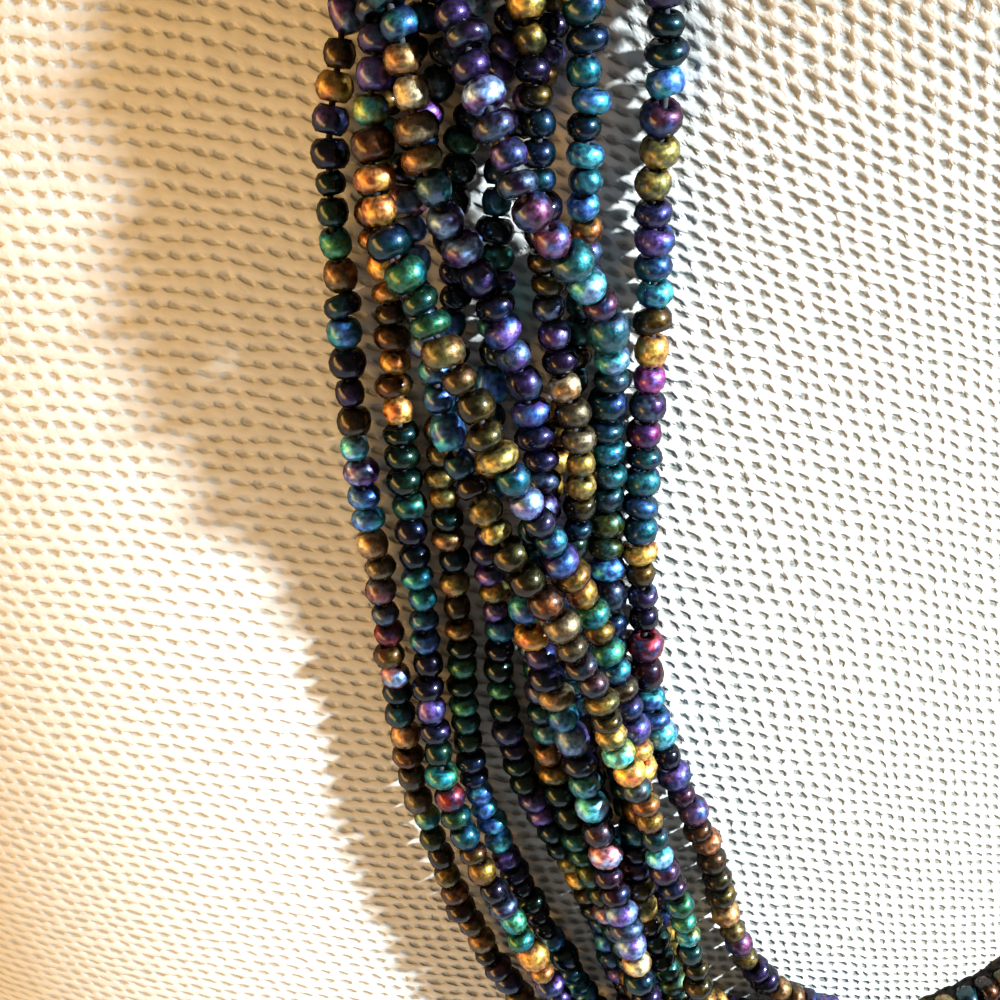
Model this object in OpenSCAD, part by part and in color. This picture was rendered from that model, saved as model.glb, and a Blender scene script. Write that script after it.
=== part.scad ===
// Loosely twisted necklace of eleven bead strings, lying on a linen neck bust.
// X points to the wearer's left, Y to the back, Z up, and the origin is under the neck, on the base.

/* [Bust] */
// Height of the bust
bust_h = 250; // [220:2:290]
// Width of the bust at the base
bust_w = 232; // [210:2:260]
// Depth of the base in front of the neck axis
bust_front = 108; // [95:1:122]
// Depth of the shoulders behind the neck axis
bust_back = 55; // [50:1:62]
// Width of the neck
neck_w = 93; // [86:1:102]
// Depth of the neck from front to back
neck_d = 90; // [84:1:100]

/* [Strands] */
// Diameter of one bead string
strand_d = 2.4; // [2:0.05:2.6]
// Free space between two strings that lie side by side
strand_gap = 0.1; // [0.1:0.05:0.4]
// Free space between the linen and what lies on it
seat_gap = 0.4; // [0.3:0.05:0.6]

/* [Clasp] */
// Length of the clasp along the strings
clasp_l = 12; // [9:0.5:16]
// Width of the clasp across the strings
clasp_w = 21; // [20:0.5:26]
// Thickness of the clasp
clasp_t = 6.2; // [5.6:0.1:8]
// Free space between the clasp and the ends of the strings
end_gap = 0.5; // [0.4:0.05:0.8]

/* [Hidden] */

// Fineness of the two meshes
bust_sides = 44;
bust_steps = 3;
strand_sides = 8;
strand_rings = 66;

lane = strand_d + strand_gap;

// Sections of the bust from the base up.
// Columns: height as a share of bust_h, then how far the side, the front and the back
// have moved from the neck (0) to the body (1).
BUST = [
    [0,     0.95,  0.96,  0.6],
    [0.02,  0.975, 0.98,  0.75],
    [0.14,  1,     0.97,  0.9],
    [0.30,  0.94,  0.86,  1],
    [0.46,  0.84,  0.62,  0.9],
    [0.58,  0.71,  0.35,  0.7],
    [0.65,  0.58,  0.175, 0.5],
    [0.70,  0.42,  0.08,  0.35],
    [0.745, 0.22,  0.04,  0.2],
    [0.79,  0.08,  0.025, 0.1],
    [0.85,  0.03,  0.015, 0.05],
    [0.92,  0.01,  0.01,  0],
    [0.985, 0,     0,     0],
    [1,     -0.03, -0.03, -0.2]
];

// Middle of the bundle from the clasp, down the wearer's right side, to the front.
// Columns: share of the half loop, angle from the front, height as a share of bust_h.
ROUTE = [
    [0,     -180, 0.864],
    [0.11,  -150, 0.858],
    [0.22,  -120, 0.842],
    [0.32,  -92,  0.82],
    [0.40,  -70,  0.796],
    [0.45,  -57,  0.772],
    [0.49,  -48,  0.748],
    [0.535, -41,  0.716],
    [0.58,  -35,  0.684],
    [0.62,  -31,  0.652],
    [0.67,  -28,  0.616],
    [0.725, -25,  0.576],
    [0.80,  -20,  0.528],
    [0.87,  -14,  0.484],
    [0.94,  -7,   0.452],
    [1,     0,    0.44]
];

// Place of each string across the bundle at the rows of ROUTE, in lanes, positive to the inside
// of the loop. Columns: strand_1 to strand_11.
ACROSS = [
    [-3.1,  -2.1,  -1.55, -0.5,  0.5,  1.55,  3.1,  2.1,   0,     1.05,  -1.05],
    [-3.35, -2.25, -1.7,  -0.55, 0.55, 1.7,   3.35, 2.25,  0,     1.1,   -1.1],
    [-3.8,  -2.55, -2,    -0.6,  0.7,  1.9,   3.7,  2.4,   0,     1.2,   -1.3],
    [-4.15, -2.9,  -2.3,  -0.95, 0.55, 1.85,  3.6,  2,     -0.4,  0.8,   -1.7],
    [-4.4,  -3.2,  -2.65, -1.3,  0.45, 1.75,  3.5,  1.45,  -0.8,  0.3,   -2],
    [-4.65, -3.4,  -2.8,  -1.45, 0.3,  1.7,   3.5,  1.05,  -1.1,  0,     -2.25],
    [-4.7,  -3.45, -2.9,  -1.5,  0.3,  1.7,   3.5,  0.9,   -1.25, -0.15, -2.3],
    [-4.2,  -2.8,  -1.5,  0.95,  1.3,  2.3,   4,    0.25,  -1.85, -0.8,  -2.9],
    [-3.9,  -1.25, 0.3,   2.85,  1.5,  2.3,   4.1,  0.1,   -1.7,  -1.05, -2.65],
    [-3.9,  0.45,  1.05,  2.8,   2.05, 1.45,  3.85, -0.35, -0.85, -1.6,  -2.65],
    [-3.5,  2.15,  0.5,   2.8,   1.7,  0.7,   3.8,  -0.4,  1.3,   -1.4,  -2.45],
    [-3.55, 3.1,   1.45,  2.7,   1.7,  0.65,  3.8,  -0.4,  2.65,  -1.7,  -2.6],
    [-3.8,  1.65,  0.95,  2.2,   1.15, 0.55,  4.1,  0.05,  2.65,  -1.75, -2.25],
    [-3.85, 0.8,   -0.25, 1.3,   0.25, -0.35, 3.2,  -0.9,  1.4,   -1.95, -2.5],
    [-3.75, 0.85,  -0.4,  2.4,   1.35, 0.3,   3.45, -0.7,  1.95,  -1.75, -2.75],
    [-3.55, 0,     -1,    2.5,   1.5,  0.5,   3.55, -0.5,  1,     -1.5,  -2.5]
];

// Layer of each string at the same rows: 0 lies on the linen, 1 on the layer below it.
LAYER = [
    [0, 0,    1,    1,   1,   1,    0, 0, 0,    0, 0],
    [0, 0,    1,    1,   1,   1,    0, 0, 0,    0, 0],
    [0, 0,    1,    1,   1,   1,    0, 0, 0,    0, 0],
    [0, 0,    1,    1,   1,   1,    0, 0, 0,    0, 0],
    [0, 0,    1,    1,   1,   1,    0, 0, 0,    0, 0],
    [0, 0.1,  1.1,  1.1, 1,   1,    0, 0, 0,    0, 0],
    [0, 0.5,  1.6,  1.3, 1,   0.9,  0, 0, 0,    0, 0],
    [0, 1.3,  1.5,  2.3, 1,   0.7,  0, 0, 0.4,  0, 0],
    [0, 2,    1,    1,   0.8, 0,    0, 0, 1,    0, 0],
    [0, 2.4,  1,    0.2, 1.1, 0,    0, 0, 1.7,  0, 0],
    [0, 1.3,  1.1,  0,   0,   0,    0, 0, 2.2,  0, 0.1],
    [0, 1.05, 1.1,  0,   0,   0.3,  0, 0, 2.05, 0, 0.45],
    [0, 1,    1.85, 0,   0,   0.9,  0, 0, 1.95, 0, 0.95],
    [0, 0.9,  1.9,  0,   0,   0.9,  0, 0, 1.9,  0, 0.95],
    [0, 1.2,  1.3,  0,   0,   0.25, 0, 0, 1.3,  0, 0.35],
    [0, 1,    1,    0,   0,   0,    0, 0, 1,    0, 0]
];

// The string whose lane, turned over, each string takes on the other side, so that the
// bundle keeps twisting the same way round.
PARTNER = [6, 1, 8, 10, 9, 7, 0, 5, 2, 4, 3];

COLOURS = ["midnightblue", "darkslateblue", "teal", "steelblue", "darkolivegreen", "indigo",
           "saddlebrown", "darkslategray", "darkgoldenrod", "darkcyan", "purple"];

// Smooth curve through the rows of a table, whose first column is the place along the curve
function find_row(t, x, i = 0) = i >= len(t) - 2 || x < t[i + 1][0] ? i : find_row(t, x, i + 1);
function rise(t, c, i) = (t[i + 1][c] - t[i][c]) / (t[i + 1][0] - t[i][0]);
function slope(t, c, i) =
    i == 0 ? rise(t, c, 0) :
    i == len(t) - 1 ? rise(t, c, i - 1) :
    let (before = t[i][0] - t[i - 1][0], after = t[i + 1][0] - t[i][0])
    (rise(t, c, i) * before + rise(t, c, i - 1) * after) / (before + after);
function curve(t, c, x) =
    let (
        i = find_row(t, x),
        step = t[i + 1][0] - t[i][0],
        u = (x - t[i][0]) / step
    )
    (2 * u ^ 3 - 3 * u ^ 2 + 1) * t[i][c] + (u ^ 3 - 2 * u ^ 2 + u) * step * slope(t, c, i)
    + (3 * u ^ 2 - 2 * u ^ 3) * t[i + 1][c] + (u ^ 3 - u ^ 2) * step * slope(t, c, i + 1);

function unit(v) = v / norm(v);

// Point of the bust at an angle from the front, in degrees, and a share of the height
function bust_point(angle, level) =
    let (
        side = neck_w / 2 + curve(BUST, 1, level) * (bust_w - neck_w) / 2,
        front = neck_d / 2 + curve(BUST, 2, level) * (bust_front - neck_d / 2),
        back = neck_d / 2 + curve(BUST, 3, level) * (bust_back - neck_d / 2)
    )
    [side * sin(angle), -cos(angle) * (cos(angle) > 0 ? front : back), level * bust_h];

// How the point moves with the angle and with the level, and the outward direction there
turn_step = 0.05;
level_step = 0.0002;
function by_angle(a, l) = (bust_point(a + turn_step, l) - bust_point(a - turn_step, l)) / (2 * turn_step);
function by_level(a, l) = (bust_point(a, l + level_step) - bust_point(a, l - level_step)) / (2 * level_step);
function outward(a, l) = unit(cross(by_angle(a, l), by_level(a, l)));

// Rows of one string round the whole loop: share, angle, level, lanes across, layer
function string_rows(i) = concat(
    [for (k = [0 : len(ROUTE) - 1]) concat(ROUTE[k], [ACROSS[k][i], LAYER[k][i]])],
    [for (k = [len(ROUTE) - 2 : -1 : 0])
        [2 - ROUTE[k][0], -ROUTE[k][1], ROUTE[k][2], -ACROSS[k][PARTNER[i]], LAYER[k][PARTNER[i]]]]
);

// Centre of a string at share s: a step across the bust from the middle of the bundle,
// then out from the linen by its layer
share_step = 0.001;
function route_point(rows, s) = bust_point(curve(rows, 1, s), curve(rows, 2, s));
function string_point(rows, s) =
    let (
        a = curve(rows, 1, s),
        l = curve(rows, 2, s),
        across = curve(rows, 3, s) * lane,
        height = seat_gap + strand_d / 2 + curve(rows, 4, s) * lane,
        run = unit(route_point(rows, s + share_step) - route_point(rows, s - share_step)),
        inside = cross(outward(a, l), run) * across,
        da = by_angle(a, l),
        dl = by_level(a, l),
        det = (da * da) * (dl * dl) - (da * dl) ^ 2,
        turn = ((inside * da) * (dl * dl) - (inside * dl) * (da * dl)) / det,
        climb = ((inside * dl) * (da * da) - (inside * da) * (da * dl)) / det
    )
    bust_point(a + turn, l + climb) + outward(a + turn, l + climb) * height;

// Share at which a string in a given layer meets the face of the clasp
clasp_level = ROUTE[0][2];
clasp_radius = neck_w / 2 + curve(BUST, 1, clasp_level) * (bust_w - neck_w) / 2 + seat_gap + strand_d / 2;
function start_share(layer) =
    asin((clasp_l / 2 + end_gap + strand_d / 16) / (clasp_radius + layer * lane))
    * ROUTE[1][0] / (ROUTE[1][1] - ROUTE[0][1]);

// Quads between rings of points, closed by a face at each end
function skin_faces(rings, sides) = concat(
    [[for (j = [0 : sides - 1]) j]],
    [for (i = [0 : rings - 2], j = [0 : sides - 1])
        [i * sides + j, (i + 1) * sides + j, (i + 1) * sides + (j + 1) % sides, i * sides + (j + 1) % sides]],
    [[for (j = [sides - 1 : -1 : 0]) (rings - 1) * sides + j]]
);

module bust() {
    levels = concat(
        [for (i = [0 : len(BUST) - 2], j = [0 : bust_steps - 1])
            BUST[i][0] + (BUST[i + 1][0] - BUST[i][0]) * j / bust_steps],
        [1]
    );
    points = [for (l = levels, j = [0 : bust_sides - 1]) bust_point(j * 360 / bust_sides, l)];
    color("linen")
        polyhedron(points, skin_faces(len(levels), bust_sides));
}

// A plain bar with round edges behind the neck, which the strings run into from both sides
module clasp() {
    back = bust_point(180, clasp_level)[1] + seat_gap + clasp_t / 2;
    color("silver")
        translate([0, back, clasp_level * bust_h]) {
            cube([clasp_l, clasp_t, clasp_w - clasp_t], center = true);
            for (end = [-1, 1])
                translate([0, 0, end * (clasp_w - clasp_t) / 2])
                    rotate([0, 90, 0])
                        cylinder(h = clasp_l, d = clasp_t, center = true, $fn = 48);
        }
}

module strand(i) {
    rows = string_rows(i);
    first = start_share(LAYER[0][i]);
    last = 2 - start_share(LAYER[0][PARTNER[i]]);
    points = [
        for (k = [0 : strand_rings - 1])
            let (
                s = first + (last - first) * k / (strand_rings - 1),
                centre = string_point(rows, s),
                run = unit(string_point(rows, s + share_step) - string_point(rows, s - share_step)),
                wide = unit(cross(outward(curve(rows, 1, s), curve(rows, 2, s)), run)),
                high = cross(run, wide)
            )
            for (j = [0 : strand_sides - 1])
                centre + strand_d / 2 * (cos(j * 360 / strand_sides) * wide + sin(j * 360 / strand_sides) * high)
    ];
    color(COLOURS[i])
        polyhedron(points, skin_faces(strand_rings, strand_sides));
}

bust();
clasp();
strand(0);  // strand_1
strand(1);  // strand_2
strand(2);  // strand_3
strand(3);  // strand_4
strand(4);  // strand_5
strand(5);  // strand_6
strand(6);  // strand_7
strand(7);  // strand_8
strand(8);  // strand_9
strand(9);  // strand_10
strand(10);  // strand_11
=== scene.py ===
import math
import random
import bpy
import numpy as np
from mathutils import Matrix, Vector


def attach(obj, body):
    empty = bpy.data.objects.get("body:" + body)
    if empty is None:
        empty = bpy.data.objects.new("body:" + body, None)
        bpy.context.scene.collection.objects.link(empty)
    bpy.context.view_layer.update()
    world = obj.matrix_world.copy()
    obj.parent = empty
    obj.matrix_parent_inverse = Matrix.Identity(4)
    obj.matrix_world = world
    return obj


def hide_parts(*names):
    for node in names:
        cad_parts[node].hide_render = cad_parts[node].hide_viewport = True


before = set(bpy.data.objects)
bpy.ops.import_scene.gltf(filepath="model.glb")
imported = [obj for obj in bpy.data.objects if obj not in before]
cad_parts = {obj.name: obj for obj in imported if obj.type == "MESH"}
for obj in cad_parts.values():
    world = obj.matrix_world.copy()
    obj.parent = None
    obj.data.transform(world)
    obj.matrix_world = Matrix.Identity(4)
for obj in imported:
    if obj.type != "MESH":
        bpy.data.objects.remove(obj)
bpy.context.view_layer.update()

# The camera looks down on the wearer's right side of the chest from close by, turned on its
# side a little, so that the bundle of strings falls through the picture from top to bottom.
bpy.ops.object.select_all(action="DESELECT")
camera_at = Vector((-0.076, -0.098, 0.239))
camera_to = Vector((-0.044, -0.050, 0.159))
camera_roll = math.radians(-25)
forward = (camera_to - camera_at).normalized()
level_right = forward.cross(Vector((0, 0, 1))).normalized()
level_down = forward.cross(level_right)
right = math.cos(camera_roll) * level_right + math.sin(camera_roll) * level_down
down = math.cos(camera_roll) * level_down - math.sin(camera_roll) * level_right
bpy.ops.object.camera_add()
camera = bpy.context.object
camera.name = "camera"
camera_axes = Matrix((right, -down, -forward)).transposed().to_4x4()
camera.matrix_world = Matrix.Translation(camera_at) @ camera_axes
camera.data.lens = 50.4
camera.data.sensor_width = 36
camera.data.clip_start = 0.005
camera.data.clip_end = 20
bpy.context.scene.camera = camera


# The neck bust is a stiff form with coarse off-white linen glued over it, pulled a little askew
# so that it follows the shoulders without folds, joined down the middle of the back, and closed
# with flat linen at the base and on top of the neck.
bust_h = 0.250
bust_w = 0.232
bust_front = 0.108
bust_back = 0.055
neck_w = 0.093
neck_d = 0.090
# Sections from the base up. Columns: height as a share of bust_h, then how far the side, the
# front and the back have moved from the neck (0) to the body (1).
bust_sections = np.array([
    (0,     0.95,  0.96,  0.6),
    (0.02,  0.975, 0.98,  0.75),
    (0.14,  1,     0.97,  0.9),
    (0.30,  0.94,  0.86,  1),
    (0.46,  0.84,  0.62,  0.9),
    (0.58,  0.71,  0.35,  0.7),
    (0.65,  0.58,  0.175, 0.5),
    (0.70,  0.42,  0.08,  0.35),
    (0.745, 0.22,  0.04,  0.2),
    (0.79,  0.08,  0.025, 0.1),
    (0.85,  0.03,  0.015, 0.05),
    (0.92,  0.01,  0.01,  0),
    (0.985, 0,     0,     0),
    (1,     -0.03, -0.03, -0.2),
])
bust_steps = 9
bust_columns = 176
mm_in_m = 1000


def smooth_table(rows):
    """A smooth curve through the rows of a table, read at a value of its first column."""
    x = rows[:, 0]
    y = rows[:, 1:]
    step = np.diff(x)
    rise = np.diff(y, axis=0) / step[:, None]
    slope = np.vstack([
        rise[:1],
        (rise[1:] * step[:-1, None] + rise[:-1] * step[1:, None]) / (step[1:] + step[:-1])[:, None],
        rise[-1:],
    ])

    def read(at):
        at = np.asarray(at, float)
        i = np.clip(np.searchsorted(x, at, side="right") - 1, 0, len(x) - 2)
        h = step[i][..., None]
        u = (at - x[i])[..., None] / h
        return (
            (2 * u ** 3 - 3 * u ** 2 + 1) * y[i] + (u ** 3 - 2 * u ** 2 + u) * h * slope[i]
            + (3 * u ** 2 - 2 * u ** 3) * y[i + 1] + (u ** 3 - u ** 2) * h * slope[i + 1]
        )

    return read


bust_shares = smooth_table(bust_sections)


def bust_point(angle, level):
    """Point of the linen at an angle from the front, in degrees, and a share of the height."""
    share = bust_shares(level)
    side = neck_w / 2 + share[..., 0] * (bust_w - neck_w) / 2
    front = neck_d / 2 + share[..., 1] * (bust_front - neck_d / 2)
    back = neck_d / 2 + share[..., 2] * (bust_back - neck_d / 2)
    turn = np.radians(angle)
    depth = np.where(np.cos(turn) > 0, front, back)
    return np.stack([side * np.sin(turn), -depth * np.cos(turn), level * bust_h + 0 * turn], -1)


bust_levels = np.concatenate([
    np.linspace(low, high, bust_steps, endpoint=False)
    for low, high in zip(bust_sections[:-1, 0], bust_sections[1:, 0])
] + [[1.0]])
bust_angles = np.linspace(-180, 180, bust_columns + 1)
bust_grid = bust_point(bust_angles[None, :], bust_levels[:, None])
# Lengths on the linen: round it from the middle of the front, and up it along one line.
up_line = 45.0
round_length = np.concatenate([
    np.zeros((len(bust_levels), 1)),
    np.cumsum(np.linalg.norm(np.diff(bust_grid, axis=1), axis=2), axis=1),
], axis=1)
round_length -= round_length[:, bust_columns // 2][:, None]
up_path = bust_point(np.full(len(bust_levels), up_line), bust_levels)
up_length = np.concatenate([[0], np.cumsum(np.linalg.norm(np.diff(up_path, axis=0), axis=1))])

bpy.ops.mesh.primitive_grid_add(
    x_subdivisions=bust_columns, y_subdivisions=len(bust_levels) - 1, size=2, calc_uvs=True)
bust = bpy.context.object
bust.name = "linen_bust"
columns = [round((v.co.x + 1) / 2 * bust_columns) for v in bust.data.vertices]
rings = [round((v.co.y + 1) / 2 * (len(bust_levels) - 1)) for v in bust.data.vertices]
for v in bust.data.vertices:
    v.co = bust_grid[rings[v.index], columns[v.index]]
linen_uv = bust.data.uv_layers.active
linen_map = linen_uv.name
for loop in bust.data.loops:
    ring = rings[loop.vertex_index]
    column = columns[loop.vertex_index]
    linen_uv.data[loop.index].uv = (round_length[ring, column] * mm_in_m, up_length[ring] * mm_in_m)
# The back seam is joined, and the base and the top are closed with one flat face each.
bpy.ops.object.mode_set(mode="EDIT")
bpy.ops.mesh.select_all(action="SELECT")
bpy.ops.mesh.remove_doubles(threshold=0.00001)
bpy.ops.mesh.select_all(action="DESELECT")
bpy.ops.mesh.select_mode(type="EDGE")
bpy.ops.mesh.select_non_manifold(extend=False)
bpy.ops.mesh.edge_face_add()
bpy.ops.mesh.select_all(action="SELECT")
bpy.ops.mesh.normals_make_consistent(inside=False)
bpy.ops.mesh.select_all(action="DESELECT")
bpy.ops.object.mode_set(mode="OBJECT")
linen_uv = bust.data.uv_layers[linen_map]
for face in bust.data.polygons:
    if len(face.vertices) > 4:
        for corner_at in face.loop_indices:
            place = bust.data.vertices[bust.data.loops[corner_at].vertex_index].co
            linen_uv.data[corner_at].uv = (place.x * mm_in_m, place.y * mm_in_m)
bpy.ops.object.shade_smooth_by_angle(angle=math.radians(50))

linen = bpy.data.materials.new("coarse linen")
linen.use_nodes = True
linen_nodes = linen.node_tree.nodes
linen_links = linen.node_tree.links
linen_nodes.clear()


def figure(kind, *inputs):
    """A Math node of that kind on the linen, with numbers or sockets as its inputs."""
    node = linen_nodes.new("ShaderNodeMath")
    node.operation = kind
    for socket, value in zip(node.inputs, inputs):
        if isinstance(value, bpy.types.NodeSocket):
            linen_links.new(value, socket)
        else:
            socket.default_value = value
    return node.outputs[0]


def weighed(start, *parts):
    """A start with the parts added one by one, each a socket and its weight."""
    for socket, weight in parts:
        start = figure("MULTIPLY_ADD", socket, weight, start)
    return start


def tint_ramp(nodes, *stops):
    """A colour ramp with those stops, each a place from 0 to 1 and a colour in linear light."""
    ramp = nodes.new("ShaderNodeValToRGB")
    elements = ramp.color_ramp.elements
    for element, (place, tint) in zip(elements, (stops[0], stops[-1])):
        element.position = place
        element.color = (*tint, 1)
    for place, tint in stops[1:-1]:
        elements.new(place).color = (*tint, 1)
    return ramp


linen_place = linen_nodes.new("ShaderNodeUVMap")
linen_place.uv_map = linen_map
# Threads are counted along the round and up the bust, in millimetres from the side of the neck.
# Pulled over the form, the cloth turns and its warp closes up from the shoulder to the chest, so
# the threads per millimetre change with the place.
count_round = -45
count_up = 170
pull_reach = 36
warp_by_round = 0.680
warp_by_up = 0.356
warp_by_pull = 0.00365
weft_by_round = -0.117
weft_by_up = 0.932
weft_by_pull = 0.0046
weft_turn = 0.0008
weft_spread = -0.00063
linen_from = linen_nodes.new("ShaderNodeSeparateXYZ")
linen_links.new(linen_place.outputs["UV"], linen_from.inputs[0])
round_by = figure("SUBTRACT", linen_from.outputs["X"], count_round)
up_by = figure("SUBTRACT", linen_from.outputs["Y"], count_up)
pull = figure("MINIMUM", figure("MAXIMUM", round_by, -pull_reach), pull_reach)
pulled = figure("MULTIPLY", pull, figure("MULTIPLY_ADD", round_by, 2, figure("MULTIPLY", pull, -1)))
warp_count = weighed(
    figure("MULTIPLY", pulled, warp_by_pull), (up_by, warp_by_up), (round_by, warp_by_round))
weft_per_up = weighed(weft_by_up, (up_by, weft_spread), (pull, weft_turn))
weft_count = weighed(
    figure("MULTIPLY", up_by, weft_per_up), (pulled, weft_by_pull), (round_by, weft_by_round))
linen_count = linen_nodes.new("ShaderNodeCombineXYZ")
linen_links.new(warp_count, linen_count.inputs["X"])
linen_links.new(weft_count, linen_count.inputs["Y"])
# The threads wander a little from straight lines.
linen_wander = linen_nodes.new("ShaderNodeTexNoise")
linen_wander.inputs["Scale"].default_value = 0.30
linen_wander.inputs["Detail"].default_value = 3
linen_links.new(linen_count.outputs["Vector"], linen_wander.inputs["Vector"])
linen_shift = linen_nodes.new("ShaderNodeVectorMath")
linen_shift.operation = "MULTIPLY_ADD"
linen_shift.inputs[1].default_value = (0.9, 0.9, 0)
linen_links.new(linen_wander.outputs["Color"], linen_shift.inputs[0])
linen_links.new(linen_count.outputs["Vector"], linen_shift.inputs[2])
linen_split = linen_nodes.new("ShaderNodeSeparateXYZ")
linen_links.new(linen_shift.outputs[0], linen_split.inputs[0])
across = linen_split.outputs["X"]
along = linen_split.outputs["Y"]
# Warp threads run along Y and weft threads along X, each over and under the other in turn. The
# warp lies a little lower.
thread_wave = 0.32
thread_flat = 0.7
warp_sunk = 0.25
warp_round = figure("SINE", figure("MULTIPLY", figure("FRACT", across), math.pi))
weft_round = figure("SINE", figure("MULTIPLY", figure("FRACT", along), math.pi))
warp_lift = figure("COSINE", figure("MULTIPLY", figure(
    "ADD", figure("SUBTRACT", along, 0.5), figure("FLOOR", across)), math.pi))
weft_lift = figure("COSINE", figure("MULTIPLY", figure(
    "ADD", figure("SUBTRACT", across, 0.5), figure("FLOOR", along)), math.pi))
warp_height = figure("MULTIPLY_ADD", warp_lift, thread_wave, figure(
    "SUBTRACT", figure("POWER", warp_round, thread_flat), warp_sunk))
weft_height = figure("MULTIPLY_ADD", weft_lift, -thread_wave, figure("POWER", weft_round, thread_flat))
weave_height = figure("MAXIMUM", warp_height, weft_height)
# The weave is open where the edges of two warp threads meet the edges of two weft threads.
weave_gap = figure(
    "MULTIPLY",
    figure("SUBTRACT", 1.0, figure("MULTIPLY", warp_round, warp_round)),
    figure("SUBTRACT", 1.0, figure("MULTIPLY", weft_round, weft_round)))
# Each thread has its own thickness and tint, and a few slubs.
linen_slub = linen_nodes.new("ShaderNodeTexNoise")
linen_slub.inputs["Scale"].default_value = 1.1
linen_slub.inputs["Detail"].default_value = 3
linen_links.new(linen_shift.outputs[0], linen_slub.inputs["Vector"])
linen_fibre = linen_nodes.new("ShaderNodeTexNoise")
linen_fibre.inputs["Scale"].default_value = 4.5
linen_fibre.inputs["Detail"].default_value = 3
linen_links.new(linen_shift.outputs[0], linen_fibre.inputs["Vector"])
# A mask that grows from 34 to 62 mm round from the middle of the front, over the shoulders, makes the
# painted shade in the gaps softer, the painted shade between the weft rows deeper and the bump weaker
# there; over the chest the gaps keep their darkest painted shade.
linen_shade_ease = linen_nodes.new("ShaderNodeMapRange")
linen_shade_ease.interpolation_type = "SMOOTHSTEP"
linen_shade_ease.inputs["From Min"].default_value = 34
linen_shade_ease.inputs["From Max"].default_value = 62
linen_links.new(figure("ABSOLUTE", linen_from.outputs["X"]), linen_shade_ease.inputs["Value"])
shoulder_shade_mask = linen_shade_ease.outputs["Result"]
# The relief adds up the ribs of the weft, the weave, its gaps, the slubs and the fibres.
linen_relief = weighed(
    -1.40,
    (shoulder_shade_mask, -0.07),
    (figure("MULTIPLY", weft_round, weft_round), weighed(0.15, (shoulder_shade_mask, 0.78))),
    (weave_height, 0.6),
    (weave_gap, -0.75),
    (linen_slub.outputs["Fac"], 1.4),
    (linen_fibre.outputs["Fac"], 0.6))
# The tint follows the relief, with painted shade darkest in the gaps and along the valleys between the
# threads, and softer over the shoulders.
linen_shade_level = linen_nodes.new("ShaderNodeMapRange")
linen_links.new(weighed(-1.30, (shoulder_shade_mask, -1.75)), linen_shade_level.inputs["From Min"])
linen_shade_level.inputs["From Max"].default_value = 0.7
linen_links.new(linen_relief, linen_shade_level.inputs["Value"])
# Its lower stops are painted shade in the gaps and along the edges of the threads; its top stop is the
# linen's own colour.
linen_tint_and_gap_shade = tint_ramp(
    linen_nodes,
    (0.04, (0.110, 0.110, 0.098)),
    (0.35, (0.29, 0.29, 0.265)),
    (0.62, (0.47, 0.47, 0.445)),
    (0.97, (0.64, 0.635, 0.61)))
linen_links.new(linen_shade_level.outputs["Result"], linen_tint_and_gap_shade.inputs["Fac"])
# The base colour is that tint, painted gap shade and all, times a tone that differs from thread to
# thread.
linen_colour_and_gap_shade = linen_nodes.new("ShaderNodeMix")
linen_colour_and_gap_shade.data_type = "RGBA"
linen_colour_and_gap_shade.blend_type = "MULTIPLY"
linen_colour_and_gap_shade.inputs["Factor"].default_value = 1
linen_warm = tint_ramp(linen_nodes, (0.3, (0.87, 0.865, 0.855)), (0.7, (1, 1, 1)))
linen_links.new(linen_slub.outputs["Fac"], linen_warm.inputs["Fac"])
linen_links.new(linen_tint_and_gap_shade.outputs["Color"], linen_colour_and_gap_shade.inputs[6])
linen_links.new(linen_warm.outputs["Color"], linen_colour_and_gap_shade.inputs[7])
# The open places between the threads are deep, and the threads themselves are nearly flat.
linen_open = linen_nodes.new("ShaderNodeMapRange")
linen_open.interpolation_type = "SMOOTHSTEP"
linen_open.inputs["From Min"].default_value = -0.75
linen_open.inputs["From Max"].default_value = 0.2
linen_links.new(linen_relief, linen_open.inputs["Value"])
linen_bump = linen_nodes.new("ShaderNodeBump")
linen_links.new(weighed(0.9, (shoulder_shade_mask, -0.45)), linen_bump.inputs["Strength"])
linen_bump.inputs["Distance"].default_value = 0.00030
linen_links.new(
    weighed(linen_open.outputs["Result"], (linen_relief, 0.20)), linen_bump.inputs["Height"])
linen_cloth = linen_nodes.new("ShaderNodeBsdfPrincipled")
linen_cloth.inputs["Roughness"].default_value = 0.85
linen_cloth.inputs["Specular IOR Level"].default_value = 0.25
linen_cloth.inputs["Sheen Weight"].default_value = 0.15
linen_cloth.inputs["Sheen Roughness"].default_value = 0.5
linen_links.new(linen_colour_and_gap_shade.outputs[2], linen_cloth.inputs["Base Color"])
linen_links.new(linen_bump.outputs["Normal"], linen_cloth.inputs["Normal"])
linen_output = linen_nodes.new("ShaderNodeOutputMaterial")
linen_links.new(linen_cloth.outputs["BSDF"], linen_output.inputs["Surface"])
bust.data.materials.append(linen)
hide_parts("bust")
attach(bust, "root")


# The strings are glass seed beads with a metallic, many-coloured finish, each on its own
# polyester thread. Eleven of them lie in a loose bundle that turns over itself as it comes
# down the chest, and all of them end at the clasp.
strand_d = 0.0024
lane = 0.0025
seat_gap = 0.0004
clasp_l = 0.012
end_gap = 0.0005
# Middle of the bundle from the clasp, down the wearer's right side, to the front.
# Columns: share of the half loop, angle from the front, height as a share of bust_h.
route = np.array([
    (0,     -180, 0.864),
    (0.11,  -150, 0.858),
    (0.22,  -120, 0.842),
    (0.32,  -92,  0.82),
    (0.40,  -70,  0.796),
    (0.45,  -57,  0.772),
    (0.49,  -48,  0.748),
    (0.535, -41,  0.716),
    (0.58,  -35,  0.684),
    (0.62,  -31,  0.652),
    (0.67,  -28,  0.616),
    (0.725, -25,  0.576),
    (0.80,  -20,  0.528),
    (0.87,  -14,  0.484),
    (0.94,  -7,   0.452),
    (1,     0,    0.44),
])
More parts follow.
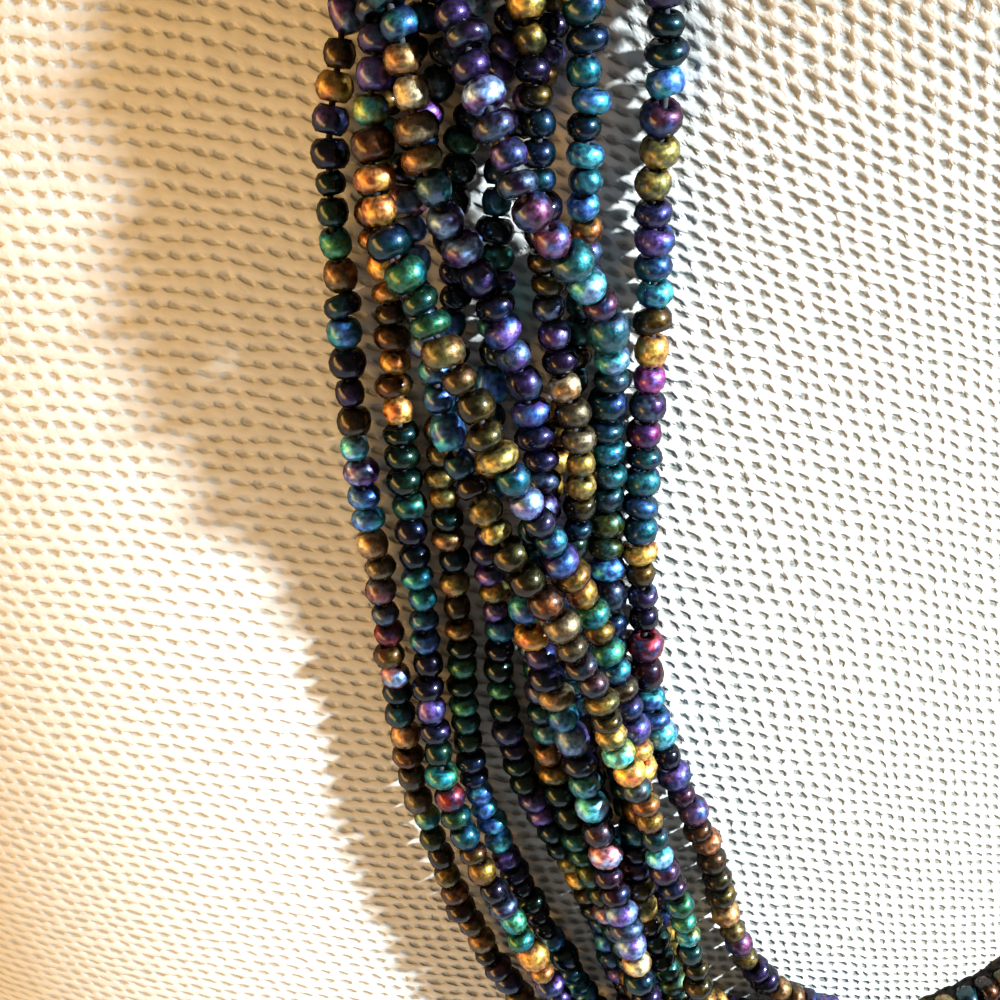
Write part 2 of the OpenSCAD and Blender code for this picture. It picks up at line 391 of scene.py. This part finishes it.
# Place of each string across the bundle at the rows of the route, in lanes, positive to the
# inside of the loop.
strand_across = np.array([
    (-3.1,  -2.1,  -1.55, -0.5,  0.5,  1.55,  3.1,  2.1,   0,     1.05,  -1.05),
    (-3.35, -2.25, -1.7,  -0.55, 0.55, 1.7,   3.35, 2.25,  0,     1.1,   -1.1),
    (-3.8,  -2.55, -2,    -0.6,  0.7,  1.9,   3.7,  2.4,   0,     1.2,   -1.3),
    (-4.15, -2.9,  -2.3,  -0.95, 0.55, 1.85,  3.6,  2,     -0.4,  0.8,   -1.7),
    (-4.4,  -3.2,  -2.65, -1.3,  0.45, 1.75,  3.5,  1.45,  -0.8,  0.3,   -2),
    (-4.65, -3.4,  -2.8,  -1.45, 0.3,  1.7,   3.5,  1.05,  -1.1,  0,     -2.25),
    (-4.7,  -3.45, -2.9,  -1.5,  0.3,  1.7,   3.5,  0.9,   -1.25, -0.15, -2.3),
    (-4.2,  -2.8,  -1.5,  0.95,  1.3,  2.3,   4,    0.25,  -1.85, -0.8,  -2.9),
    (-3.9,  -1.25, 0.3,   2.85,  1.5,  2.3,   4.1,  0.1,   -1.7,  -1.05, -2.65),
    (-3.9,  0.45,  1.05,  2.8,   2.05, 1.45,  3.85, -0.35, -0.85, -1.6,  -2.65),
    (-3.5,  2.15,  0.5,   2.8,   1.7,  0.7,   3.8,  -0.4,  1.3,   -1.4,  -2.45),
    (-3.55, 3.1,   1.45,  2.7,   1.7,  0.65,  3.8,  -0.4,  2.65,  -1.7,  -2.6),
    (-3.8,  1.65,  0.95,  2.2,   1.15, 0.55,  4.1,  0.05,  2.65,  -1.75, -2.25),
    (-3.85, 0.8,   -0.25, 1.3,   0.25, -0.35, 3.2,  -0.9,  1.4,   -1.95, -2.5),
    (-3.75, 0.85,  -0.4,  2.4,   1.35, 0.3,   3.45, -0.7,  1.95,  -1.75, -2.75),
    (-3.55, 0,     -1,    2.5,   1.5,  0.5,   3.55, -0.5,  1,     -1.5,  -2.5),
])
# Layer of each string at the same rows: 0 lies on the linen, 1 on the layer below it.
strand_layer = np.array([
    (0, 0,    1,    1,   1,   1,    0, 0, 0,    0, 0),
    (0, 0,    1,    1,   1,   1,    0, 0, 0,    0, 0),
    (0, 0,    1,    1,   1,   1,    0, 0, 0,    0, 0),
    (0, 0,    1,    1,   1,   1,    0, 0, 0,    0, 0),
    (0, 0,    1,    1,   1,   1,    0, 0, 0,    0, 0),
    (0, 0.1,  1.1,  1.1, 1,   1,    0, 0, 0,    0, 0),
    (0, 0.5,  1.6,  1.3, 1,   0.9,  0, 0, 0,    0, 0),
    (0, 1.3,  1.5,  2.3, 1,   0.7,  0, 0, 0.4,  0, 0),
    (0, 2,    1,    1,   0.8, 0,    0, 0, 1,    0, 0),
    (0, 2.4,  1,    0.2, 1.1, 0,    0, 0, 1.7,  0, 0),
    (0, 1.3,  1.1,  0,   0,   0,    0, 0, 2.2,  0, 0.1),
    (0, 1.05, 1.1,  0,   0,   0.3,  0, 0, 2.05, 0, 0.45),
    (0, 1,    1.85, 0,   0,   0.9,  0, 0, 1.95, 0, 0.95),
    (0, 0.9,  1.9,  0,   0,   0.9,  0, 0, 1.9,  0, 0.95),
    (0, 1.2,  1.3,  0,   0,   0.25, 0, 0, 1.3,  0, 0.35),
    (0, 1,    1,    0,   0,   0,    0, 0, 1,    0, 0),
])
# The string whose lane, turned over, each string takes on the other side.
strand_partner = (6, 1, 8, 10, 9, 7, 0, 5, 2, 4, 3)
# Finishes of the beads, in linear light.
glaze = {
    "ink": (0.020, 0.030, 0.085),
    "blue": (0.035, 0.095, 0.30),
    "steel": (0.15, 0.26, 0.46),
    "teal": (0.012, 0.13, 0.17),
    "sea": (0.05, 0.34, 0.40),
    "green": (0.03, 0.13, 0.06),
    "leaf": (0.23, 0.30, 0.07),
    "olive": (0.13, 0.12, 0.04),
    "gold": (0.48, 0.29, 0.06),
    "bronze": (0.22, 0.11, 0.045),
    "copper": (0.34, 0.115, 0.04),
    "brown": (0.085, 0.04, 0.025),
    "red": (0.24, 0.025, 0.03),
    "magenta": (0.30, 0.035, 0.16),
    "rose": (0.36, 0.15, 0.18),
    "violet": (0.11, 0.065, 0.27),
    "purple": (0.060, 0.028, 0.115),
    "plum": (0.12, 0.04, 0.09),
    "cream": (0.52, 0.42, 0.25),
    "grey": (0.20, 0.21, 0.24),
}
# The colour that the other side of a bead turns to.
flash = {
    "ink": "violet", "blue": "sea", "steel": "violet", "teal": "blue", "sea": "steel",
    "green": "teal", "leaf": "sea", "olive": "gold", "gold": "copper", "bronze": "olive",
    "copper": "gold", "brown": "copper", "red": "ink", "magenta": "violet", "rose": "steel",
    "violet": "blue", "purple": "steel", "plum": "blue", "cream": "bronze", "grey": "sea",
}
# For each string: width and length of its beads in millimetres, and the finishes down its
# front part, from the shoulder to the middle.
strings = [
    (2.40, 1.95, "olive purple gold ink green bronze teal ink bronze sea blue cream rose red rose "
                 "sea gold cream leaf bronze brown cream bronze plum bronze brown bronze olive "
                 "bronze brown violet gold brown bronze plum ink"),
    (2.70, 1.95, "purple violet copper copper green bronze sea steel blue gold green blue violet gold "
                 "copper teal plum olive green leaf olive gold olive cream plum teal brown olive"),
    (2.65, 1.90, "blue bronze cream purple violet steel violet purple sea gold violet cream steel "
                 "sea rose plum steel blue ink violet blue sea olive bronze blue steel teal"),
    (2.70, 1.90, "violet purple plum sea sea teal sea leaf blue purple ink teal green olive plum "
                 "olive teal gold blue green ink plum bronze"),
    (2.35, 1.70, "olive teal ink purple cream olive green teal blue ink violet teal blue violet plum "
                 "green olive bronze rose ink"),
    (2.50, 1.85, "teal blue steel sea gold purple rose sea olive green leaf blue bronze olive "
                 "copper green bronze ink"),
    (2.60, 1.95, "teal olive plum violet blue gold magenta blue teal gold purple red blue sea ink "
                 "plum brown bronze olive bronze olive ink bronze plum ink brown bronze olive"),
    # The eighth string lies deep in the bundle under the others. Its many ink and dark green beads are
    # partly its real finishes and partly painted shade for the shadow that the strings above throw on
    # it.
    (2.35, 1.75, "ink ink teal teal green green blue olive ink ink ink teal green ink green ink blue "
                 "olive cream blue ink violet plum ink copper gold teal ink olive ink"),
    (2.50, 1.85, "grey grey magenta rose steel steel blue blue olive olive bronze cream rose olive "
                 "gold sea gold sea plum green leaf olive gold teal bronze olive copper brown olive "
                 "green teal brown"),
    (2.35, 1.75, "ink green teal olive bronze green blue ink teal purple green brown ink"),
    (2.45, 1.80, "teal teal leaf leaf gold gold copper copper green green violet teal blue ink ink "
                 "green green teal gold purple green gold ink red blue teal cream gold green brown "
                 "bronze teal plum ink"),
]
front_from = 0.49
front_to = 1.0
# Seed beads are uneven: each has its own width, length, place, tilt and depth of colour.
bead_width_spread = (0.84, 1.10)
bead_length_spread = (0.80, 1.16)
long_bead = 1.35
long_bead_chance = 0.05
bead_press = 1.04
bead_drift = 0.00010
bead_tilt = 8
run_colour_chance = 0.85
# Most beads are dark, and a few are bright.
darkest_light = 0.12
light_range = 2.3
light_fall = 2.5
bead_seed = 41

# One bead: a short barrel with round shoulders and a hole along it, of unit width and length.
# Columns of its profile: radius and place along the hole, both for a bead 1 wide and 1 long.
bead_profile = [
    (0.5, 0), (0.455, 0.24), (0.34, 0.42), (0.16, 0.40), (0.16, -0.40), (0.34, -0.42), (0.455, -0.24)]
bead_sides = 10
bpy.ops.object.select_all(action="DESELECT")
bpy.ops.mesh.primitive_torus_add(
    major_segments=bead_sides, minor_segments=len(bead_profile), major_radius=1, minor_radius=0.5)
bead = bpy.context.object
for v in bead.data.vertices:
    turn = 2 * math.pi * (v.index // len(bead_profile)) / bead_sides
    radius, height = bead_profile[v.index % len(bead_profile)]
    v.co = (radius * math.cos(turn), radius * math.sin(turn), height)
bpy.ops.object.mode_set(mode="EDIT")
bpy.ops.mesh.select_all(action="SELECT")
bpy.ops.mesh.normals_make_consistent(inside=False)
bpy.ops.object.mode_set(mode="OBJECT")
bead_points = np.array([v.co[:] for v in bead.data.vertices])
bead_faces = [tuple(face.vertices) for face in bead.data.polygons]
bpy.data.objects.remove(bead)


def around_point(angle, level):
    """How a point of the linen moves with the angle and the level, and the outward direction."""
    step = 0.0002
    by_angle = (bust_point(angle + step, level) - bust_point(angle - step, level)) / (2 * step)
    by_level = (bust_point(angle, level + step) - bust_point(angle, level - step)) / (2 * step)
    out = np.cross(by_angle, by_level)
    out /= np.linalg.norm(out, axis=-1, keepdims=True)
    return by_angle, by_level, out


def string_path(i, shares):
    """Centre of a string and the outward direction of the linen below it, at shares of the loop."""
    step = 0.001
    partner = strand_partner[i]
    right_half = np.column_stack([route, strand_across[:, i], strand_layer[:, i]])
    left_half = np.column_stack([route, strand_across[:, partner], strand_layer[:, partner]])
    left_half = left_half[-2::-1] * (-1, -1, 1, -1, 1) + (2, 0, 0, 0, 0)
    read = smooth_table(np.vstack([right_half, left_half]))
    angle, level, side, layer = np.moveaxis(read(shares), -1, 0)
    near = read(shares - step)
    far = read(shares + step)
    run = bust_point(far[..., 0], far[..., 1]) - bust_point(near[..., 0], near[..., 1])
    by_angle, by_level, out = around_point(angle, level)
    inside = np.cross(out, run)
    inside *= (side * lane / np.linalg.norm(inside, axis=-1))[:, None]
    aa = (by_angle * by_angle).sum(-1)
    ab = (by_angle * by_level).sum(-1)
    bb = (by_level * by_level).sum(-1)
    ia = (inside * by_angle).sum(-1)
    ib = (inside * by_level).sum(-1)
    det = aa * bb - ab * ab
    angle = angle + (ia * bb - ib * ab) / det
    level = level + (ib * aa - ia * ab) / det
    out = around_point(angle, level)[2]
    return bust_point(angle, level) + out * (seat_gap + strand_d / 2 + layer * lane)[:, None], out


def start_share(layer):
    """Share of the half loop at which a string in that layer meets the face of the clasp."""
    radius = bust_point(180.0, route[0, 2])[1] + seat_gap + strand_d / 2 + layer * lane
    turn = math.degrees(math.asin((clasp_l / 2 + end_gap) / radius))
    return turn * route[1, 0] / (route[1, 1] - route[0, 1])


def read_along(rows, reach, at):
    """Points or directions read from rows at lengths along a string."""
    return np.stack([np.interp(at, reach, rows[:, k]) for k in range(3)], -1)


bead_finish = bpy.data.materials.new("metallic bead finish")
bead_finish.use_nodes = True
bead_nodes = bead_finish.node_tree.nodes
bead_links = bead_finish.node_tree.links
bead_nodes.clear()
bead_glaze = bead_nodes.new("ShaderNodeAttribute")
bead_glaze.attribute_name = "glaze"
bead_flash = bead_nodes.new("ShaderNodeAttribute")
bead_flash.attribute_name = "flash"
bead_place = bead_nodes.new("ShaderNodeTexCoord")
bead_cloud = bead_nodes.new("ShaderNodeTexNoise")
bead_cloud.inputs["Scale"].default_value = 650
bead_cloud.inputs["Detail"].default_value = 2
bead_links.new(bead_place.outputs["Object"], bead_cloud.inputs["Vector"])
bead_turn = bead_nodes.new("ShaderNodeMapRange")
bead_turn.interpolation_type = "SMOOTHSTEP"
bead_turn.inputs["From Min"].default_value = 0.42
bead_turn.inputs["From Max"].default_value = 0.66
bead_links.new(bead_cloud.outputs["Fac"], bead_turn.inputs["Value"])
bead_mix = bead_nodes.new("ShaderNodeMix")
bead_mix.data_type = "RGBA"
bead_links.new(bead_turn.outputs["Result"], bead_mix.inputs["Factor"])
bead_links.new(bead_glaze.outputs["Color"], bead_mix.inputs[6])
bead_links.new(bead_flash.outputs["Color"], bead_mix.inputs[7])
bead_grain = bead_nodes.new("ShaderNodeTexNoise")
bead_grain.inputs["Scale"].default_value = 2600
bead_grain.inputs["Detail"].default_value = 3
bead_links.new(bead_place.outputs["Object"], bead_grain.inputs["Vector"])
bead_mottle = tint_ramp(bead_nodes, (0.38, (0.35, 0.35, 0.35)), (0.62, (1, 1, 1)))
bead_links.new(bead_grain.outputs["Fac"], bead_mottle.inputs["Fac"])
bead_skin = bead_nodes.new("ShaderNodeMix")
bead_skin.data_type = "RGBA"
bead_skin.blend_type = "MULTIPLY"
bead_skin.inputs["Factor"].default_value = 1
bead_links.new(bead_mix.outputs[2], bead_skin.inputs[6])
bead_links.new(bead_mottle.outputs["Color"], bead_skin.inputs[7])
bead_rough = bead_nodes.new("ShaderNodeMapRange")
bead_rough.inputs["To Min"].default_value = 0.38
bead_rough.inputs["To Max"].default_value = 0.64
bead_links.new(bead_grain.outputs["Fac"], bead_rough.inputs["Value"])
bead_bump = bead_nodes.new("ShaderNodeBump")
bead_bump.inputs["Strength"].default_value = 0.8
bead_bump.inputs["Distance"].default_value = 0.00006
bead_links.new(bead_grain.outputs["Fac"], bead_bump.inputs["Height"])
bead_shader = bead_nodes.new("ShaderNodeBsdfPrincipled")
bead_shader.inputs["Metallic"].default_value = 1.0
bead_shader.inputs["Specular Tint"].default_value = (0.05, 0.05, 0.08, 1)
bead_shader.inputs["Coat Weight"].default_value = 0.4
bead_shader.inputs["Coat Roughness"].default_value = 0.18
bead_shader.inputs["Coat IOR"].default_value = 1.7
bead_links.new(bead_skin.outputs[2], bead_shader.inputs["Base Color"])
bead_links.new(bead_rough.outputs["Result"], bead_shader.inputs["Roughness"])
bead_links.new(bead_bump.outputs["Normal"], bead_shader.inputs["Normal"])
bead_output = bead_nodes.new("ShaderNodeOutputMaterial")
bead_links.new(bead_shader.outputs["BSDF"], bead_output.inputs["Surface"])

thread_finish = bpy.data.materials.new("dark thread")
thread_finish.use_nodes = True
thread_nodes = thread_finish.node_tree.nodes
thread_links = thread_finish.node_tree.links
thread_shader = thread_nodes["Principled BSDF"]
thread_shader.inputs["Roughness"].default_value = 0.9
thread_shader.inputs["Specular IOR Level"].default_value = 0.15
thread_place = thread_nodes.new("ShaderNodeTexCoord")
thread_twist = thread_nodes.new("ShaderNodeTexNoise")
thread_twist.inputs["Scale"].default_value = 18000
thread_links.new(thread_place.outputs["Object"], thread_twist.inputs["Vector"])
thread_tint = tint_ramp(thread_nodes, (0, (0.010, 0.010, 0.014)), (1, (0.050, 0.050, 0.060)))
thread_links.new(thread_twist.outputs["Fac"], thread_tint.inputs["Fac"])
thread_links.new(thread_tint.outputs["Color"], thread_shader.inputs["Base Color"])

# A bead faces along its string, read this far to each side of its centre.
bead_reach = 0.0006
path_steps = 1600
thread_steps = 240
thread_sides = 6
thread_r = 0.00022
thread_dye = (0.02, 0.02, 0.03, 1)
for i, (bead_w, bead_l, finishes) in enumerate(strings):
    rng = random.Random(bead_seed + i)
    names = finishes.split()
    first = start_share(strand_layer[0, i])
    last = 2 - start_share(strand_layer[0, strand_partner[i]])
    shares = np.linspace(first, last, path_steps)
    path, outs = string_path(i, shares)
    reach = np.concatenate([[0], np.cumsum(np.linalg.norm(np.diff(path, axis=0), axis=1))])
    # Bead lengths that fill the string from end to end.
    lengths = []
    while sum(lengths) < reach[-1]:
        length = bead_l * rng.uniform(*bead_length_spread) / mm_in_m
        if rng.random() < long_bead_chance:
            length *= long_bead
        lengths.append(length)
    lengths = np.array(lengths) * (reach[-1] / sum(lengths))
    centres = np.cumsum(lengths) - lengths / 2
    points = []
    faces = []
    glazes = []
    flashes = []
    for length, centre in zip(lengths, centres):
        share = float(np.interp(centre, reach, shares))
        here = Vector(read_along(path, reach, centre))
        ahead = Vector(read_along(path, reach, centre + bead_reach))
        behind = Vector(read_along(path, reach, centre - bead_reach))
        out = Vector(read_along(outs, reach, centre))
        run = (ahead - behind).normalized()
        wide = out.cross(run).normalized()
        high = run.cross(wide)
        width = bead_w * rng.uniform(*bead_width_spread) / mm_in_m
        here = here + wide * rng.gauss(0, bead_drift) + high * rng.gauss(0, bead_drift)
        turned = (
            Matrix((wide, high, run)).transposed()
            @ Matrix.Rotation(math.radians(rng.gauss(0, bead_tilt)), 3, "X")
            @ Matrix.Rotation(math.radians(rng.gauss(0, bead_tilt)), 3, "Y")
            @ Matrix.Rotation(rng.uniform(0, math.pi), 3, "Z")
        )
        shape = np.array(turned @ Matrix.Diagonal((width, width, length * bead_press)))
        start = len(points)
        points.extend((bead_points @ shape.T + np.array(here)).tolist())
        faces.extend(tuple(start + v for v in face) for face in bead_faces)
        down_front = (min(share, 2 - share) - front_from) / (front_to - front_from)
        if 0 <= down_front and rng.random() < run_colour_chance:
            name = names[min(int(down_front * len(names)), len(names) - 1)]
        else:
            name = rng.choice(names)
        light = darkest_light + light_range * rng.random() ** light_fall
        glazes.extend([[c * light for c in glaze[name]] + [1]] * len(bead_points))
        flashes.extend([[c * light for c in glaze[flash[name]]] + [1]] * len(bead_points))
    bead_face_count = len(faces)
    # The thread runs through the holes from one end of the string to the other.
    thread_at = np.linspace(0, reach[-1], thread_steps)
    thread_path = read_along(path, reach, thread_at)
    thread_outs = read_along(outs, reach, thread_at)
    thread_run = np.gradient(thread_path, axis=0)
    thread_wide = np.cross(thread_outs, thread_run)
    thread_wide /= np.linalg.norm(thread_wide, axis=1, keepdims=True)
    thread_high = np.cross(thread_run, thread_wide)
    thread_high /= np.linalg.norm(thread_high, axis=1, keepdims=True)
    start = len(points)
    for k in range(thread_steps):
        for j in range(thread_sides):
            turn = 2 * math.pi * j / thread_sides
            spoke = math.cos(turn) * thread_wide[k] + math.sin(turn) * thread_high[k]
            points.append(tuple(thread_path[k] + thread_r * spoke))
            glazes.append(thread_dye)
            flashes.append(thread_dye)
    for k in range(thread_steps - 1):
        for j in range(thread_sides):
            a = start + k * thread_sides + j
            b = start + k * thread_sides + (j + 1) % thread_sides
            faces.append((a, b, b + thread_sides, a + thread_sides))
    faces.append(tuple(start + j for j in reversed(range(thread_sides))))
    faces.append(tuple(start + (thread_steps - 1) * thread_sides + j for j in range(thread_sides)))

    beads = bpy.data.meshes.new(f"bead_string_{i + 1}")
    beads.from_pydata(points, [], faces)
    beads.attributes.new("glaze", "FLOAT_COLOR", "POINT").data.foreach_set("color", np.ravel(glazes))
    beads.attributes.new("flash", "FLOAT_COLOR", "POINT").data.foreach_set("color", np.ravel(flashes))
    beads.materials.append(bead_finish)
    beads.materials.append(thread_finish)
    beads.polygons.foreach_set(
        "material_index", [0] * bead_face_count + [1] * (len(faces) - bead_face_count))
    beads.polygons.foreach_set("use_smooth", [True] * len(faces))
    string = bpy.data.objects.new(f"bead_string_{i + 1}", beads)
    bpy.context.collection.objects.link(string)
    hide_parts(f"strand_{i + 1}")
    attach(string, "root")


# The clasp is one bar of satin silver-coloured metal with round edges, lying flat behind the
# neck, which the strings run into from both sides.
clasp_w = 0.021
clasp_t = 0.0062
clasp_flat = 0.00002
clasp_rim = 0.0005
clasp_y = float(bust_point(180.0, route[0, 2])[1]) + seat_gap + clasp_t / 2
clasp_z = float(route[0, 2]) * bust_h
bpy.ops.object.select_all(action="DESELECT")
bpy.ops.mesh.primitive_cube_add(size=1, location=(0, clasp_y, clasp_z))
clasp = bpy.context.object
clasp.name = "bar_clasp"
clasp.scale = (clasp_l, clasp_t, clasp_w)
bpy.ops.object.transform_apply(location=True, rotation=True, scale=True)
bpy.ops.object.mode_set(mode="EDIT")
bpy.ops.mesh.select_mode(type="EDGE")
bpy.ops.mesh.select_all(action="DESELECT")
bpy.ops.object.mode_set(mode="OBJECT")
for edge in clasp.data.edges:
    ends = [clasp.data.vertices[v].co.x for v in edge.vertices]
    edge.select = abs(ends[0] - ends[1]) > clasp_l / 2
bpy.ops.object.mode_set(mode="EDIT")
bpy.ops.mesh.bevel(offset=clasp_t / 2 - clasp_flat, segments=10, affect="EDGES")
bpy.ops.object.mode_set(mode="OBJECT")
clasp_edge = clasp.modifiers.new("round rim", "BEVEL")
clasp_edge.width = clasp_rim
clasp_edge.segments = 3
clasp_edge.limit_method = "ANGLE"
clasp_edge.angle_limit = math.radians(40)
bpy.ops.object.modifier_apply(modifier=clasp_edge.name)
bpy.ops.object.shade_smooth_by_angle(angle=math.radians(40))

clasp_metal = bpy.data.materials.new("satin clasp metal")
clasp_metal.use_nodes = True
clasp_nodes = clasp_metal.node_tree.nodes
clasp_links = clasp_metal.node_tree.links
clasp_shader = clasp_nodes["Principled BSDF"]
clasp_shader.inputs["Metallic"].default_value = 1.0
clasp_place = clasp_nodes.new("ShaderNodeTexCoord")
clasp_brush = clasp_nodes.new("ShaderNodeMapping")
clasp_brush.inputs["Scale"].default_value = (120, 3000, 3000)
clasp_links.new(clasp_place.outputs["Object"], clasp_brush.inputs["Vector"])
clasp_lines = clasp_nodes.new("ShaderNodeTexNoise")
clasp_lines.inputs["Scale"].default_value = 1
clasp_lines.inputs["Detail"].default_value = 4
clasp_links.new(clasp_brush.outputs["Vector"], clasp_lines.inputs["Vector"])
clasp_tint = tint_ramp(clasp_nodes, (0, (0.42, 0.40, 0.37)), (1, (0.70, 0.68, 0.64)))
clasp_links.new(clasp_lines.outputs["Fac"], clasp_tint.inputs["Fac"])
clasp_links.new(clasp_tint.outputs["Color"], clasp_shader.inputs["Base Color"])
clasp_rough = clasp_nodes.new("ShaderNodeMapRange")
clasp_rough.inputs["To Min"].default_value = 0.22
clasp_rough.inputs["To Max"].default_value = 0.42
clasp_links.new(clasp_lines.outputs["Fac"], clasp_rough.inputs["Value"])
clasp_links.new(clasp_rough.outputs["Result"], clasp_shader.inputs["Roughness"])
clasp_bump = clasp_nodes.new("ShaderNodeBump")
clasp_bump.inputs["Strength"].default_value = 0.2
clasp_bump.inputs["Distance"].default_value = 0.00005
clasp_links.new(clasp_lines.outputs["Fac"], clasp_bump.inputs["Height"])
clasp_links.new(clasp_bump.outputs["Normal"], clasp_shader.inputs["Normal"])
clasp.data.materials.append(clasp_metal)
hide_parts("clasp")
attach(clasp, "root")


# The studio has a plain pale floor, a strong cool light from the right of the picture, which
# throws the shadow of the strings to its left, a broad warm one that fills that shadow from the
# left, and a weak warm light from all round.
bpy.ops.object.select_all(action="DESELECT")
bpy.ops.mesh.primitive_plane_add(size=8, location=(0, 0, 0))
floor = bpy.context.object
floor.name = "floor"
floor_paint = bpy.data.materials.new("pale floor")
floor_paint.use_nodes = True
floor_shader = floor_paint.node_tree.nodes["Principled BSDF"]
floor_shader.inputs["Base Color"].default_value = (0.30, 0.295, 0.29, 1)
floor_shader.inputs["Roughness"].default_value = 0.8
floor.data.materials.append(floor_paint)

light_to = Vector((-0.03, -0.06, 0.15))
key_distance = 1.5
key_rise = math.radians(12)
key_lean = math.radians(32)
key_across = math.cos(key_rise) * right - math.sin(key_rise) * down
key_from = math.cos(key_lean) * key_across - math.sin(key_lean) * forward
bpy.ops.object.light_add(type="AREA", location=light_to + key_from * key_distance)
key_light = bpy.context.object
key_light.name = "key light"
key_light.rotation_euler = key_from.to_track_quat("Z", "Y").to_euler()
key_light.data.shape = "DISK"
key_light.data.size = 0.11
key_light.data.energy = 136
key_light.data.color = (0.83, 0.94, 1.0)

bpy.ops.object.light_add(type="AREA", location=(-0.82, -0.18, 0.12))
fill_light = bpy.context.object
fill_light.name = "warm fill light"
fill_light.rotation_euler = (fill_light.location - light_to).to_track_quat("Z", "Y").to_euler()
fill_light.data.shape = "RECTANGLE"
fill_light.data.size = 1.2
fill_light.data.size_y = 0.24
fill_light.data.energy = 11
fill_light.data.color = (1.0, 0.54, 0.13)

studio = bpy.data.worlds.new("studio")
studio.use_nodes = True
studio_air = studio.node_tree.nodes["Background"]
studio_air.inputs["Color"].default_value = (1.0, 0.85, 0.70, 1)
studio_air.inputs["Strength"].default_value = 0.13
bpy.context.scene.world = studio
bpy.context.scene.view_settings.view_transform = "Standard"
